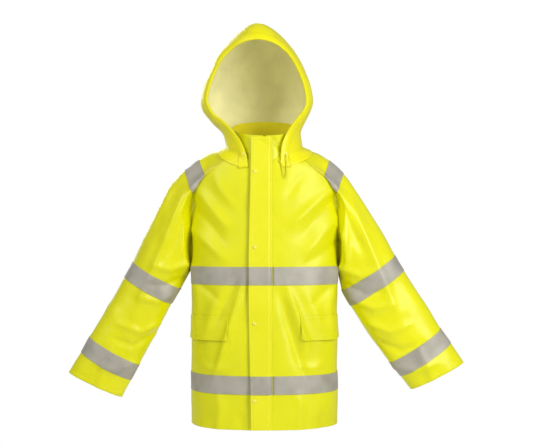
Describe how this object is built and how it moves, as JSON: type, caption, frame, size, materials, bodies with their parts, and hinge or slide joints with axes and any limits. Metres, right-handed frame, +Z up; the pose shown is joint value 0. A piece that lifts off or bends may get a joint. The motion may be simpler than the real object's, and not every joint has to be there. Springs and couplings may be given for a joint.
{
  "type": "foul weather jacket",
  "caption": "Hooded waterproof jacket with raglan sleeves, reflective bands, a front zip under a snap-down storm flap, and two lower pockets with flaps.",
  "frame": {"origin": "centre of the neck opening, level with the shoulder seams", "axes": "+Z up, -Y out of the jacket's front, +X to the wearer's left"},
  "size_m": [1.12, 0.3126, 1.129],
  "materials": {
    "body_fabric": "glossy coated fluorescent yellow fabric",
    "sleeve_fabric": "glossy coated fluorescent yellow fabric",
    "hood_fabric": "glossy coated fluorescent yellow fabric, paler inside",
    "flap_fabric": "glossy coated fluorescent yellow fabric, doubled",
    "lining": "matt inner face of the coated fabric",
    "reflective_tape": "retroreflective grey tape",
    "zip_plastic": "moulded zip in the jacket's colour",
    "zip_metal": "nickel plated",
    "snap_cap": "domed cap in the jacket's colour",
    "nickel": "nickel plated",
    "cord": "braided polyester cord"
  },
  "bodies": {
    "torso": {"back_panel": "body_fabric", "chest_tape_back": "reflective_tape", "chest_tape_left": "reflective_tape", "chest_tape_right": "reflective_tape", "collar": "body_fabric", "front_panel_left": "body_fabric", "front_panel_right": "body_fabric", "hanger_loop": "lining", "hem_tape_back": "reflective_tape", "hem_tape_left": "reflective_tape", "hem_tape_right": "reflective_tape", "pocket_bag_left": "lining", "pocket_bag_right": "lining", "raglan_shoulder_left": "sleeve_fabric", "raglan_shoulder_right": "sleeve_fabric", "shoulder_tape_left": "reflective_tape", "shoulder_tape_right": "reflective_tape", "snap_stud_1": "nickel", "snap_stud_2": "nickel", "snap_stud_3": "nickel", "snap_stud_4": "nickel", "zip_bottom_box": "zip_plastic", "zip_tape_left": "zip_plastic", "zip_tape_right": "zip_plastic", "zip_teeth_left": "zip_plastic", "zip_teeth_right": "zip_plastic"},
    "hood": {"drawcord_loop": "cord", "eyelet_left": "nickel", "eyelet_right": "nickel", "hood_centre_panel": "hood_fabric", "hood_drawcord": "cord", "hood_face_band": "hood_fabric", "hood_side_left": "hood_fabric", "hood_side_right": "hood_fabric"},
    "storm_flap": {"chest_tape_flap": "reflective_tape", "hem_tape_flap": "reflective_tape", "snap_cap_1": "snap_cap", "snap_cap_2": "snap_cap", "snap_cap_3": "snap_cap", "snap_cap_4": "snap_cap", "storm_flap": "flap_fabric"},
    "sleeve_right": {"sleeve_right": "sleeve_fabric", "sleeve_tape_cuff_right": "reflective_tape", "sleeve_tape_upper_right": "reflective_tape"},
    "sleeve_left": {"sleeve_left": "sleeve_fabric", "sleeve_tape_cuff_left": "reflective_tape", "sleeve_tape_upper_left": "reflective_tape"},
    "pocket_flap_right": {"pocket_flap_right": "flap_fabric"},
    "pocket_flap_left": {"pocket_flap_left": "flap_fabric"},
    "zip_slider": {"zip_puller": "zip_metal", "zip_slider": "zip_metal"}
  },
  "joints": [
    {"name": "hood_fold", "type": "hinge", "parent": "torso", "child": "hood", "pos_m": [0, 0.103, 0.005], "axis": [-1, 0, 0], "range_deg": [0, 100]},
    {"name": "storm_flap_open", "type": "hinge", "parent": "torso", "child": "storm_flap", "pos_m": [0.022, -0.13423, -0.3987], "axis": [0, 0.0649, 0.9979], "range_deg": [0, 120]},
    {"name": "sleeve_right_raise", "type": "hinge", "parent": "torso", "child": "sleeve_right", "pos_m": [-0.185, 0, -0.13], "axis": [0, 1, 0], "range_deg": [0, 75]},
    {"name": "sleeve_left_raise", "type": "hinge", "parent": "torso", "child": "sleeve_left", "pos_m": [0.185, 0, -0.13], "axis": [0, -1, 0], "range_deg": [0, 75]},
    {"name": "zip_run", "type": "slide", "parent": "torso", "child": "zip_slider", "axis": [0, -0.0649, -0.9979], "range_m": [0, 0.74]},
    {"name": "pocket_flap_right_lift", "type": "hinge", "parent": "torso", "child": "pocket_flap_right", "pos_m": [-0.16683, -0.09575, -0.4705], "axis": [-0.8018, 0.5976, 0], "range_deg": [0, 110]},
    {"name": "pocket_flap_left_lift", "type": "hinge", "parent": "torso", "child": "pocket_flap_left", "pos_m": [0.16683, -0.09575, -0.4705], "axis": [-0.8018, -0.5976, 0], "range_deg": [0, 110]}
  ]
}
